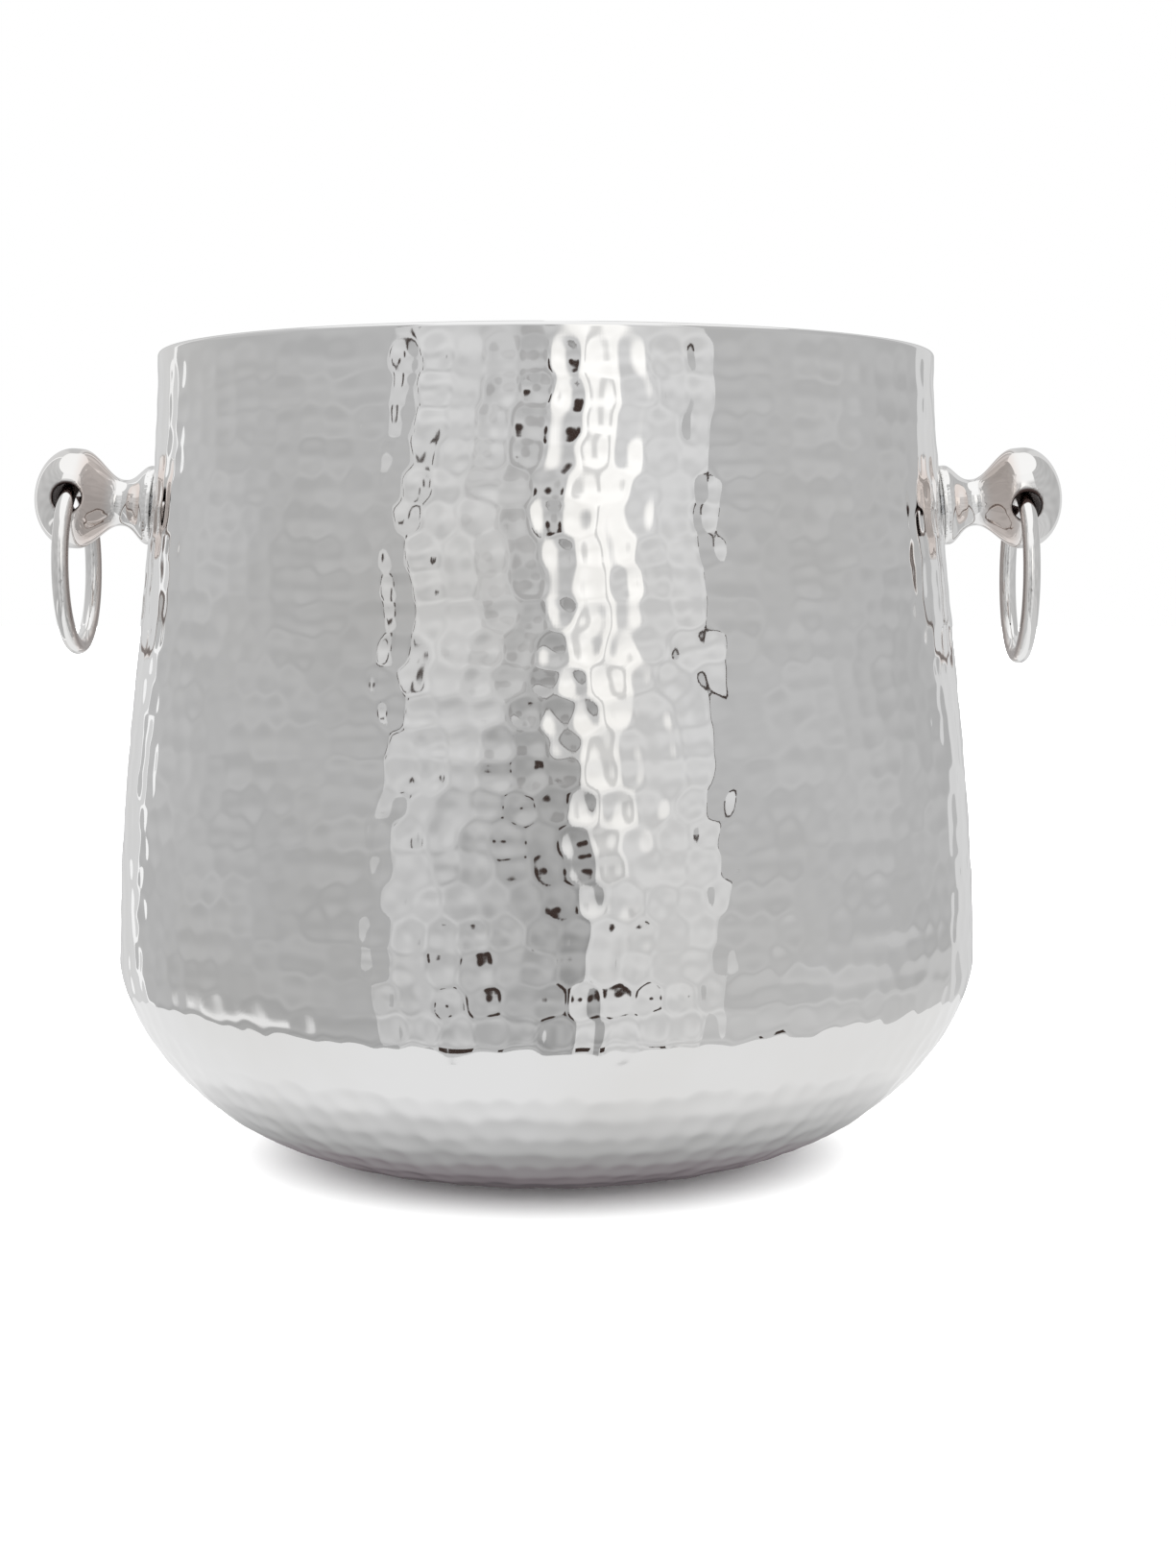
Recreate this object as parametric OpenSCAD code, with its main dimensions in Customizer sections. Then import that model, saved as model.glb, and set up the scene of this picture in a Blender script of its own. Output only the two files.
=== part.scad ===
// Hammered metal champagne bucket with two ball-knob handles and loose rings.
// Millimetres. +Z is up, the origin is the centre of the underside, and the
// handles lie on the X axis: left is -X, right is +X, the front faces -Y.

/* [Shell] */
// Overall height of the bucket
bucket_h = 200; // [180:1:220]
// Diameter at the widest point of the belly
belly_d = 215; // [200:1:230]
// Outer diameter at the rim
rim_d = 192; // [180:1:198]
// Height of the widest point above the table
belly_z = 49.8; // [40:0.2:60]
// Diameter of the flat ring that the bucket stands on
foot_d = 70; // [50:1:90]
// Thickness of the sheet metal
wall_t = 1.2; // [1:0.1:2]
// Height of the hem, where the sheet is folded in at the rim
hem_h = 6; // [4:0.5:10]
// Depth of the hollow pressed up into the underside
kick_h = 1.2; // [0.6:0.1:2]

/* [Knobs] */
// Height above the table at which each knob meets the wall
knob_z = 163; // [150:1:170]
// Largest diameter of the knob's ball
ball_d = 25; // [22:0.5:28]
// Diameter of the narrow neck
neck_d = 11.5; // [10:0.5:13]
// Diameter of the round flange against the wall
flange_d = 19.8; // [17:0.2:22]
// Thickness of the flange's edge
flange_t = 1.6; // [1:0.1:2.5]
// Distance from the wall to the middle of the ball
ball_reach = 20.4; // [19:0.2:23]
// Diameter of the cross hole that the ring hangs in
ring_hole_d = 7; // [6.8:0.1:8]
// Distance that the left knob's cross hole lies below the ball's centre
left_drop = 0; // [0:0.2:2.6]
// Distance that the right knob's cross hole lies below the ball's centre
right_drop = 2.2; // [0:0.2:2.6]

/* [Rings] */
// Diameter of the ring, measured to the middle of its wire
ring_d = 40.2; // [39.8:0.2:41]
// Diameter of the ring's wire
wire_d = 4.2; // [3.6:0.1:4.2]

/* [Fixings] */
// Thread diameter of the screw that holds each knob
screw_d = 5; // [4:0.5:5]
// Length of the screw below its head
screw_l = 14; // [10:0.5:15]
// Diameter of the screw's head
head_d = 9.4; // [8:0.2:10]
// Outer diameter of the steel washer under the head
washer_d = 12; // [11:0.5:14]
// Outer diameter of the rubber seal against the wall
seal_d = 14; // [12:0.5:16]

/* [Hidden] */
$fn = 96;

silver = [0.86, 0.86, 0.87];
steel = [0.62, 0.63, 0.65];
black_rubber = [0.08, 0.08, 0.08];

belly_r = belly_d / 2;
rim_r = rim_d / 2;
foot_r = foot_d / 2;

// The bowl below the belly is a quarter of a superellipse, from the foot (a = 0)
// to the belly (a = 90), and these are its two exponents.
bowl_out = 0.88;
bowl_up = 1.295;
bowl_steps = 36;

// The wall above the belly is a cubic curve that leaves the belly upright and
// reaches the rim leaning in by this much for each millimetre of height.
rim_lean = 0.0295;
wall_steps = 40;
wall_h = bucket_h - belly_z;

// The hem doubles the sheet at the rim, and its top is a half round.
hem_t = 2 * wall_t;
hem_steps = 8;

// The pressed-up hollow in the underside lies inside the foot's flat ring.
foot_ring_w = 8;
kick_r = foot_r - foot_ring_w;
kick_steps = 8;

function bowl(a) = [
    foot_r + (belly_r - foot_r) * pow(sin(a), bowl_out),
    belly_z * (1 - pow(cos(a), bowl_up))
];

function wall_r(u) =
    belly_r * (2 * u * u * u - 3 * u * u + 1)
    + rim_r * (3 * u * u - 2 * u * u * u)
    - rim_lean * wall_h * (u * u * u - u * u);

function wall(u) = [wall_r(u), belly_z + wall_h * u];

// Lean of the wall at the knob, in degrees from upright: the knob stands square
// to the wall, so this is also the knob's upward tilt.
knob_u = (knob_z - belly_z) / wall_h;
slope_du = 0.01;
knob_tilt = atan((wall_r(knob_u - slope_du) - wall_r(knob_u + slope_du)) / (2 * slope_du * wall_h));
knob_x = wall_r(knob_u);

// Outer surface from the foot to just under the rim's round edge, and the same
// line moved in by the sheet's thickness, square to the surface.
rim_round = hem_t / 2;
u_top = (bucket_h - rim_round - belly_z) / wall_h;
outer_line = concat(
    [for (i = [1 : bowl_steps]) bowl(90 * i / bowl_steps)],
    [for (i = [1 : wall_steps]) wall(u_top * i / wall_steps)]
);
function square_in(a, b, p, d) = p + d * [a[1] - b[1], b[0] - a[0]] / norm(b - a);
line_n = len(outer_line);
inner_line = [
    for (i = [0 : line_n - 2])
        square_in(outer_line[max(i - 1, 0)], outer_line[i + 1], outer_line[i], wall_t)
];

// The underside, from the middle out to the foot, for the sheet's lower face.
function kick(v) = kick_h * (1 + cos(180 * v)) / 2;
kick_line = [for (i = [0 : kick_steps]) [kick_r * i / kick_steps, kick(i / kick_steps)]];
floor_line = [for (p = kick_line) p + [0, wall_t]];

// Rim: up the outside, over the half round, and down the folded-in hem, whose
// upright inner face is the mouth's round seat.
rim_mid = outer_line[line_n - 1] - [rim_round, 0];
rim_arc = [
    for (i = [1 : hem_steps])
        rim_mid + rim_round * [cos(180 * i / hem_steps), sin(180 * i / hem_steps)]
];
hem_z = bucket_h - hem_h;
hem_end = [rim_mid[0] - rim_round, hem_z];
inner_wall = [for (i = [line_n - 2 : -1 : 0]) if (inner_line[i][1] < hem_z - wall_t) inner_line[i]];

module shell_solid() {
    rotate_extrude($fn = 180)
        polygon(concat(
            kick_line,
            [[foot_r, 0]],
            outer_line,
            rim_arc,
            [hem_end],
            inner_wall,
            [[foot_r, wall_t]],
            [for (i = [kick_steps : -1 : 0]) floor_line[i]]
        ));
}

// Space inside the sheet, used to shape the seals to the wall.
module inside_solid() {
    rotate_extrude($fn = 180)
        polygon(concat(
            [[0, wall_t], [foot_r, wall_t]],
            [for (i = [len(inner_wall) - 1 : -1 : 0]) inner_wall[i]],
            [[0, inner_wall[0][1]]]
        ));
}

// Places its children with +Z along the knob's axis, leading away from the wall
// and starting at the wall's outer face. side is -1 on the left, 1 on the right.
module at_knob(side) {
    mirror([side < 0 ? 1 : 0, 0, 0])
        translate([knob_x, 0, knob_z])
            rotate([0, 90 - knob_tilt, 0])
                children();
}

// Clearance of the screw in the knob's thread and in the wall's hole.
thread_gap = 0.05;
wall_hole_gap = 0.2;
module shell() {
    color(silver)
        difference() {
            shell_solid();
            for (side = [-1, 1])
                at_knob(side)
                    translate([0, 0, -3 * hem_t])
                        cylinder(d = screw_d + 2 * wall_hole_gap, h = 6 * hem_t, $fn = 48);
        }
}

// Knob outline, as [radius, distance from the wall]. The flange's flat back
// stands off the curved wall by base_gap on the centre line.
base_gap = 0.1;
ball_r = ball_d / 2;
neck_r = neck_d / 2;
flange_r = flange_d / 2;
neck_z = 8.4;
waist_z = ball_reach - 0.9;
cap_z = ball_reach + 0.9;
cap_h = 9.2;
edge_round = 0.35;
flare_power = 1.25;
curve_steps = 14;
function ease(s) = (1 - cos(180 * s)) / 2;
knob_outline = concat(
    [[0, base_gap], [flange_r - edge_round, base_gap], [flange_r, base_gap + edge_round]],
    [
        for (i = [0 : curve_steps - 1])
            let (s = 1 - i / curve_steps)
                [
                    neck_r + (flange_r - neck_r) * ease(pow(s, flare_power)),
                    neck_z - (neck_z - flange_t) * s
                ]
    ],
    [
        for (i = [0 : curve_steps])
            let (s = i / curve_steps)
                [neck_r + (ball_r - neck_r) * ease(s), neck_z + (waist_z - neck_z) * s]
    ],
    [for (i = [0 : curve_steps]) let (a = 90 * i / curve_steps)
        [ball_r * cos(a), cap_z + cap_h * sin(a)]]
);

// Each ring hangs with its middle this far below the middle of its cross hole.
ring_hang = 17;

// The ring's passage through the ball, as [radius, distance along the hole]: a
// barrel whose arc clears the ring's outer edge, as the ring turns upwards
// inside, then a round hole, and a softened mouth at the surface.
hole_r = ring_hole_d / 2;
ring_gap = 0.35;
barrel_arc = (ring_d + wire_d) / 2 + ring_gap;
barrel_turn = acos((ring_hang + hole_r) / barrel_arc);
barrel_steps = 8;
mouth_start = 11.2;
mouth_end = 13.2;
mouth_flare = 1.4;
passage_half = concat(
    [for (i = [0 : barrel_steps]) let (a = barrel_turn * i / barrel_steps)
        [barrel_arc * cos(a) - ring_hang, barrel_arc * sin(a)]],
    [[hole_r, mouth_start], [hole_r + mouth_flare, mouth_end]]
);
module passage() {
    rotate_extrude()
        polygon(concat(
            [[0, -mouth_end]],
            [for (i = [len(passage_half) - 1 : -1 : 1]) [passage_half[i][0], -passage_half[i][1]]],
            passage_half,
            [[0, mouth_end]]
        ));
}

// Middle of the cross hole, in the part's frame: hole_x is the distance from
// the bucket's axis on either side, hole_z the height.
ball_x = knob_x + ball_reach * cos(knob_tilt);
ball_z = knob_z + ball_reach * sin(knob_tilt);
function drop(side) = side < 0 ? left_drop : right_drop;

thread_depth = 11.6;
module knob(side) {
    color(silver)
        difference() {
            at_knob(side) rotate_extrude() polygon(knob_outline);
            translate([side * ball_x, 0, ball_z - drop(side)])
                rotate([90, 0, 0])
                    passage();
            at_knob(side)
                translate([0, 0, -1])
                    cylinder(d = screw_d, h = thread_depth + 1, $fn = 48);
        }
}

// The ring hangs in the YZ plane.
module ring(side) {
    color(silver)
        translate([side * ball_x, 0, ball_z - drop(side) - ring_hang])
            rotate([0, 90, 0])
                rotate_extrude()
                    translate([ring_d / 2, 0])
                        circle(d = wire_d, $fn = 48);
}

// Fixings inside the bucket, stacked along the knob's axis: seal, washer, screw.
seal_t = 1.5;
washer_t = 1;
seal_face = -wall_t - seal_t;
washer_face = seal_face - washer_t;
fixing_hole_d = screw_d + 0.4;
module seal(side) {
    color(black_rubber)
        intersection() {
            at_knob(side)
                difference() {
                    translate([0, 0, seal_face]) cylinder(d = seal_d, h = seal_t + 1);
                    translate([0, 0, seal_face - 1]) cylinder(d = fixing_hole_d, h = seal_t + 3, $fn = 48);
                }
            inside_solid();
        }
}

module washer(side) {
    color(steel)
        at_knob(side)
            difference() {
                translate([0, 0, washer_face]) cylinder(d = washer_d, h = washer_t);
                translate([0, 0, washer_face - 1]) cylinder(d = fixing_hole_d, h = washer_t + 2, $fn = 48);
            }
}

// Pan-head machine screw with a cross recess.
head_h = 3.2;
head_edge_h = 1.4;
head_steps = 8;
recess_w = 1;
recess_l = 5;
recess_depth = 1.8;
module screw(side) {
    head_r = head_d / 2;
    shank_r = screw_d / 2 - thread_gap;
    color(steel)
        at_knob(side)
            translate([0, 0, washer_face])
                difference() {
                    rotate_extrude()
                        polygon(concat(
                            [[0, -head_h]],
                            [for (i = [1 : head_steps]) let (a = 90 * i / head_steps)
                                [head_r * sin(a), -head_edge_h - (head_h - head_edge_h) * cos(a)]],
                            [[head_r, 0], [shank_r, 0], [shank_r, screw_l - 0.6], [shank_r - 0.6, screw_l],
                                [0, screw_l]]
                        ));
                    for (turn = [0, 90])
                        rotate([0, 0, turn])
                            translate([-recess_l / 2, -recess_w / 2, -head_h - 1])
                                cube([recess_l, recess_w, recess_depth + 1]);
                }
}

shell();
knob(-1);  // knob_left
knob(1);  // knob_right
ring(-1);  // ring_left
ring(1);  // ring_right
screw(-1);  // screw_left
screw(1);  // screw_right
washer(-1);  // washer_left
washer(1);  // washer_right
seal(-1);  // seal_left
seal(1);  // seal_right
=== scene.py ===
"""Looks of a hammered silver champagne bucket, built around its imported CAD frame. Units are metres."""

import math

import bpy
import numpy as np
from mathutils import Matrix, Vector


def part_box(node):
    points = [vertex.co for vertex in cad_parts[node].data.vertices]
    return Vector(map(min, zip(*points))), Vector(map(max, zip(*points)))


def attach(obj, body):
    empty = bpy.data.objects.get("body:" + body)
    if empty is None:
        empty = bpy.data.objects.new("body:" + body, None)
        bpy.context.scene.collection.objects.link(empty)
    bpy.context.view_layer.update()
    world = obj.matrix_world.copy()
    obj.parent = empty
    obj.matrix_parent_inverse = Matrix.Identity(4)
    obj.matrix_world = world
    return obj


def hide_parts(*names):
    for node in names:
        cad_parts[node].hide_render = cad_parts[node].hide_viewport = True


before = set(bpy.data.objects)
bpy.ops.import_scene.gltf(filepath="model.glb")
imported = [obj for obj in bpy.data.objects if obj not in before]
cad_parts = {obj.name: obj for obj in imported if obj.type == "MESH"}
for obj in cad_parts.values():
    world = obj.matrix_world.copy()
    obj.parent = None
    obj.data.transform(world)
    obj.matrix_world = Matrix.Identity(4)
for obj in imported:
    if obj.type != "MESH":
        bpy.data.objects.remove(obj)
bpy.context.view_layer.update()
MM = 0.001
TURN = 2 * math.pi

# ---------------------------------------------------------------- measures

shell_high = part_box("shell")[1]
BUCKET_H = shell_high.z
BELLY_R = shell_high.x
RIM_R = 96 * MM
BELLY_Z = 49.8 * MM
FOOT_R = 35 * MM
WALL_T = 1.2 * MM
HEM_H = 6 * MM
KICK_H = 1.2 * MM
KICK_R = 27 * MM
FLAT_R = 31 * MM
HEM_EDGE = 0.5 * MM
HEM_GAP = 0.2 * MM
BOWL_OUT = 0.88
BOWL_UP = 1.295
RIM_LEAN = 0.0295
RIM_ROUND = WALL_T
WALL_H = BUCKET_H - BELLY_Z

KNOB_Z = 163 * MM
BALL_R = 12.5 * MM
NECK_R = 5.75 * MM
FLANGE_R = 9.9 * MM
FLANGE_T = 1.6 * MM
BASE_GAP = 0.1 * MM
NECK_D = 8.4 * MM
WAIST_D = 19.5 * MM
CAP_D = 21.3 * MM
CAP_H = 9.2 * MM
FLARE_POWER = 1.25
BACK_EDGE = 0.35 * MM
FLANGE_LIP = 0.3 * MM
LIP_TURN = 0.85
THREAD_R = 2.5 * MM
THREAD_D = 11.6 * MM
RING_HANG = 17 * MM
RING_GAP = 0.35 * MM
HOLE_R = 3.5 * MM
MOUTH_START = 11.2 * MM
MOUTH_END = 13.2 * MM
MOUTH_FLARE = 1.4 * MM
MOUTH_BLEND = 0.9 * MM
THREAD_BLEND = 0.2 * MM
KNOB_GRID = 0.5 * MM
KNOB_MARGIN = 1 * MM
BATCH = 4000
RING_STEPS = 240
WIRE_STEPS = 48


# ---------------------------------------------------------------- meshes

def make_piece(name, points, normals, faces, material, body, nodes, marks=None):
    """A smooth mesh piece with its own vertex normals, riding on a body and standing for CAD nodes.

    faces is a list of integer arrays, each with three or four columns. marks gives the material a share
    for each vertex under each name."""
    points = np.asarray(points, float)
    normals = np.asarray(normals, float)
    turned = []
    for block in faces:
        block = np.asarray(block, np.int64)
        a, b, c = points[block[:, 0]], points[block[:, 1]], points[block[:, 2]]
        face_normal = np.cross(b - a, c - a)
        if block.shape[1] == 4:
            d = points[block[:, 3]]
            face_normal = face_normal + np.cross(c - a, d - a)
        inward = np.einsum("ij,ij->i", face_normal, normals[block].sum(1)) < 0
        block[inward] = block[inward][:, ::-1]
        turned.append(block)
    mesh = bpy.data.meshes.new(name)
    corners = np.concatenate([block.ravel() for block in turned])
    sizes = np.concatenate([np.full(len(block), block.shape[1]) for block in turned])
    mesh.vertices.add(len(points))
    mesh.vertices.foreach_set("co", points.astype(np.float32).ravel())
    mesh.loops.add(len(corners))
    mesh.loops.foreach_set("vertex_index", corners.astype(np.int32))
    mesh.polygons.add(len(sizes))
    mesh.polygons.foreach_set("loop_start", (np.cumsum(sizes) - sizes).astype(np.int32))
    mesh.update(calc_edges=True)
    mesh.validate()
    mesh.shade_smooth()
    mesh.normals_split_custom_set_from_vertices(normals.tolist())
    for mark, share in (marks or {}).items():
        mesh.attributes.new(mark, "FLOAT", "POINT").data.foreach_set("value", share.astype(np.float32))
    mesh.materials.append(material)
    piece = bpy.data.objects.new(name, mesh)
    bpy.context.scene.collection.objects.link(piece)
    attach(piece, body)
    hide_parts(*nodes)
    return piece


def zip_rings(low, low_turn, high, high_turn):
    """Triangles between two closed rings of vertices, each given with its angles in rising order."""
    start = int(np.argmin(np.abs((high_turn - low_turn[0] + math.pi) % TURN - math.pi)))
    high = np.roll(high, -start)
    high_turn = np.roll(high_turn, -start)
    low_turn = np.append(np.unwrap(low_turn), low_turn[0] + TURN)
    offset = round((low_turn[0] - high_turn[0]) / TURN) * TURN
    high_turn = np.unwrap(high_turn) + offset
    high_turn = np.append(high_turn, high_turn[0] + TURN)
    low = np.append(low, low[0])
    high = np.append(high, high[0])
    triangles = []
    i = j = 0
    while i < len(low) - 1 or j < len(high) - 1:
        go_low = j == len(high) - 1 or (i < len(low) - 1 and low_turn[i + 1] <= high_turn[j + 1])
        if go_low:
            triangles.append((low[i], low[i + 1], high[j]))
            i += 1
        else:
            triangles.append((low[i], high[j + 1], high[j]))
            j += 1
    return np.array(triangles)


# ---------------------------------------------------------------- shell: outline

def wall_r(u):
    return (
        BELLY_R * (2 * u**3 - 3 * u**2 + 1)
        + RIM_R * (3 * u**2 - 2 * u**3)
        - RIM_LEAN * WALL_H * (u**3 - u**2)
    )


class Outline:
    """The shell's outer line from the foot to the rim, looked up by the length along it."""

    def __init__(self, steps=4000, blur=2.0 * MM):
        a = np.linspace(0, math.pi / 2, steps)
        u = np.linspace(0, (WALL_H - RIM_ROUND) / WALL_H, steps)[1:]
        r = np.concatenate([FOOT_R + (BELLY_R - FOOT_R) * np.sin(a) ** BOWL_OUT, wall_r(u)])
        z = np.concatenate([BELLY_Z * (1 - np.clip(np.cos(a), 0, 1) ** BOWL_UP), BELLY_Z + WALL_H * u])
        s = np.concatenate([[0], np.cumsum(np.hypot(np.diff(r), np.diff(z)))])
        self.length = s[-1]
        self.s = np.linspace(0, self.length, 2 * steps)
        self.r = np.interp(self.s, s, r)
        self.z = np.interp(self.s, s, z)
        step = self.s[1]
        lean = np.unwrap(np.arctan2(np.gradient(self.z, step), np.gradient(self.r, step)))
        half = int(3 * blur / step)
        kernel = np.exp(-0.5 * (np.arange(-half, half + 1) * step / blur) ** 2)
        padded = np.pad(lean, half, mode="edge")
        self.lean = np.convolve(padded, kernel / kernel.sum(), mode="valid")

    def at(self, s):
        """Radius, height and the line's direction (as radius, height) at lengths s."""
        lean = np.interp(s, self.s, self.lean)
        return np.interp(s, self.s, self.r), np.interp(s, self.s, self.z), np.cos(lean), np.sin(lean)

    def s_at_z(self, z):
        return float(np.interp(z, self.z, self.s))


outline = Outline()


# ---------------------------------------------------------------- shell: hammering

BAND_H = 6.85 * MM
DENT_PITCH = 7.2 * MM
DENT_DEPTH = 0.42 * MM
DEPTH_SPREAD = 0.28
HAMMER_R = 21 * MM
HAMMER_SPREAD = 0.25
DENT_SHIFT = 1.0 * MM
DENT_REACH = 1.3
EDGE_SOFTNESS = 0.2 * MM
INSIDE_SHARE = 0.5
PLAIN_FOOT = 1.5 * MM
PLAIN_RIM = 3.5 * MM
HAMMER_SEED = 11
OUTER_STEP = 0.8 * MM
OUTER_COLUMNS = 840
INNER_STEP = 2.2 * MM
INNER_COLUMNS = 336
FOOT_COLUMNS = 96
KICK_ROWS = 10
RIM_ROWS = 10
PLACE_FADE = 12 * MM
SHEET_FADE = 8 * MM
UNDER_HEM_WAY = (-0.6, -0.8)

# The hem's lower edge: each ring's share of the edge's height, and how far it has turned in degrees.
HEM_TURNS = ((1, 0), (0.3, 35), (0, 80))

# Each set of waves: how many, their height, their turns around the shell and their lengths along it.
WANDER = (5, 0.8 * MM, (2, 7), (60 * MM, 150 * MM))
UNEVEN = (9, 0.06 * MM, (8, 30), (22 * MM, 60 * MM))

# Shares of the full number of columns, each for the rings wider than a radius.
COLUMN_SHARES = ((82 * MM, 1), (60 * MM, 0.75), (42 * MM, 0.5), (0, 0.375))


class Waves:
    """A sum of cosine waves over the shell, periodic around it."""

    def __init__(self, rng, count, height, turns, length):
        self.height = height / math.sqrt(count)
        self.m = rng.integers(turns[0], turns[1] + 1, count)
        self.k = TURN / rng.uniform(length[0], length[1], count) * rng.choice([-1, 1], count)
        self.p = rng.uniform(0, TURN, count)

    def at(self, s, t):
        """Height and its slopes along s and along the turn, per radian."""
        h = hs = ht = 0
        for m, k, p in zip(self.m, self.k, self.p):
            phase = m * t + k * s + p
            h = h + self.height * np.cos(phase)
            hs = hs - self.height * k * np.sin(phase)
            ht = ht - self.height * m * np.sin(phase)
        return h, hs, ht


def smooth(x):
    x = np.clip(x, 0, 1)
    return x * x * (3 - 2 * x)


def between(x, low, high, soft):
    """1 between low and high, fading to 0 over a width of soft centred on each of them."""
    return smooth((x - low) / soft + 0.5) * smooth((high - x) / soft + 0.5)


class Hammering:
    """Rows of hammered dimples, with their wandering lines and the sheet's slow unevenness."""

    def __init__(self):
        rng = np.random.default_rng(HAMMER_SEED)
        self.low = PLAIN_FOOT
        self.high = outline.length - PLAIN_RIM
        count = round((self.high - self.low) / BAND_H)
        edges = np.linspace(self.low, self.high, count + 1)
        self.bands = []
        for middle in (edges[1:] + edges[:-1]) / 2:
            cells = round(TURN * float(outline.at(middle)[0]) / DENT_PITCH)
            self.bands.append(
                {
                    "middle": middle,
                    "cells": cells,
                    "phase": rng.uniform(0, TURN),
                    "shift": rng.uniform(-1, 1, (2, cells)) * DENT_SHIFT,
                    "depth": DENT_DEPTH * (1 + rng.uniform(-1, 1, cells) * DEPTH_SPREAD),
                    "curve": (1 + rng.uniform(-1, 1, (2, cells)) * HAMMER_SPREAD) / HAMMER_R,
                }
            )
        self.wander_s = Waves(rng, *WANDER)
        self.wander_t = Waves(rng, *WANDER)
        self.uneven = Waves(rng, *UNEVEN)

    def place(self, s, t):
        """Where a point of the regular pattern lies on the shell."""
        fade = smooth((s - self.low) / PLACE_FADE) * smooth((self.high - s) / PLACE_FADE)
        r = outline.at(s)[0]
        return s + fade * self.wander_s.at(s, t)[0], t + fade * self.wander_t.at(s, t)[0] / r

    def sheet(self, s, t):
        """Depth of the sheet's unevenness, and its slopes along s and around, fading at foot and rim."""
        fade = smooth(s / SHEET_FADE) * smooth((outline.length - s) / SHEET_FADE)
        h, hs, ht = self.uneven.at(s, t)
        return fade * h, fade * hs, fade * ht / outline.at(s)[0]

    def dents(self, s, t):
        """Depth of the dents at the pattern places t of the ring s, and its slopes along s and around.

        Each dent is a shallow bowl cut into the smooth sheet, and the edges between them are rounded off."""
        total = np.ones(len(t))
        slope_s, slope_t = np.zeros((2, len(t)))
        r = float(outline.at(s)[0])
        for band in self.bands:
            if abs(s - band["middle"]) > DENT_REACH * BAND_H:
                continue
            turn = (t - band["phase"]) % TURN / TURN * band["cells"]
            for step in (-1, 0, 1):
                cell = np.floor(turn).astype(int) + step
                which = cell % band["cells"]
                x = (turn - cell - 0.5) * TURN * r / band["cells"] - band["shift"][0][which]
                y = s - band["middle"] - band["shift"][1][which]
                wide, high = band["curve"][:, which]
                bowl = band["depth"][which] - (x * x * wide + y * y * high) / 2
                share = np.exp(bowl / EDGE_SOFTNESS)
                total += share
                slope_s -= share * y * high
                slope_t -= share * x * wide
        return EDGE_SOFTNESS * np.log(total), slope_s / total, slope_t / total


hammering = Hammering()


class Skin:
    """Collects the shell's vertices and faces, as points of the outer line pushed in by a depth."""

    def __init__(self):
        self.points = []
        self.normals = []
        self.quads = []
        self.triangles = []
        self.count = 0

    def add(self, r, z, normal_r, normal_z, t, around=0.0):
        """Adds vertices, with the normal given as radius, height and around, and returns their numbers."""
        r, z, normal_r, normal_z, t, around = np.broadcast_arrays(r, z, normal_r, normal_z, t, around)
        c, s = np.cos(t), np.sin(t)
        normal = np.stack([normal_r * c - around * s, normal_r * s + around * c, normal_z], -1)
        normal = normal / np.linalg.norm(normal, axis=-1, keepdims=True)
        self.points.append(np.stack([r * c, r * s, z], -1).reshape(-1, 3))
        self.normals.append(normal.reshape(-1, 3))
        numbers = np.arange(self.count, self.count + r.size).reshape(r.shape)
        self.count += r.size
        return numbers

    def ring(self, s, count, inside=False):
        """Adds a ring of the hammered sheet's outer or inner face, and returns its numbers and angles."""
        turn = np.arange(count) * TURN / count
        depth, slope_s, slope_t = hammering.dents(s, turn)
        place_s, place_t = hammering.place(np.full(count, s), turn)
        sheet, sheet_s, sheet_t = hammering.sheet(place_s, place_t)
        share = INSIDE_SHARE if inside else 1
        depth = depth * share + sheet + (WALL_T if inside else 0)
        slope_s = slope_s * share + sheet_s
        slope_t = slope_t * share + sheet_t
        r, z, along_r, along_z = outline.at(place_s)
        out_r, out_z = along_z, -along_r
        way = -1 if inside else 1
        numbers = self.add(
            r - depth * out_r,
            z - depth * out_z,
            way * (out_r + slope_s * along_r),
            way * (out_z + slope_s * along_z),
            place_t,
            way * slope_t,
        )
        return numbers, turn

    def grid(self, low, high):
        """Quads between two rings of the same number of vertices."""
        self.quads.append(np.stack([low, np.roll(low, -1), np.roll(high, -1), high], -1))

    def follow(self, low, high):
        """Joins two rings, given as (numbers, angles), and returns the second."""
        if len(low[0]) == len(high[0]) and abs(low[1][0] - high[1][0]) < 1e-9:
            self.grid(low[0], high[0])
        else:
            self.triangles.append(zip_rings(*low, *high))
        return high


def plain_ring(skin, r, z, out_r, out_z, count):
    turn = np.arange(count) * TURN / count
    return skin.add(r, z, out_r, out_z, turn), turn


def kick_ring(skin, row, face):
    """A ring of the hollow pressed up into the foot. face is -1 for its underside and 1 for its top."""
    turn = math.pi * row / KICK_ROWS
    z = KICK_H * (1 + math.cos(turn)) / 2 + (WALL_T if face > 0 else 0)
    slope = face * KICK_H * math.pi / (2 * KICK_R) * math.sin(turn)
    return plain_ring(skin, KICK_R * row / KICK_ROWS, z, slope, face, FOOT_COLUMNS)


def fan(skin, ring, middle):
    """Closes the smallest ring round the one vertex in its middle."""
    skin.triangles.append(np.stack([ring[0], np.roll(ring[0], -1), np.full(FOOT_COLUMNS, middle[0])], -1))


def underside(skin):
    """The foot's flat ring and the hollow inside it, from the middle outwards."""
    middle = skin.add(0.0, KICK_H, 0.0, -1.0, np.zeros(1))
    ring = kick_ring(skin, 1, -1)
    fan(skin, ring, middle)
    for row in range(2, KICK_ROWS + 1):
        ring = skin.follow(ring, kick_ring(skin, row, -1))
    for r in (FLAT_R, FOOT_R):
        ring = skin.follow(ring, plain_ring(skin, r, 0.0, 0.0, -1.0, FOOT_COLUMNS))
    return ring


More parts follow.
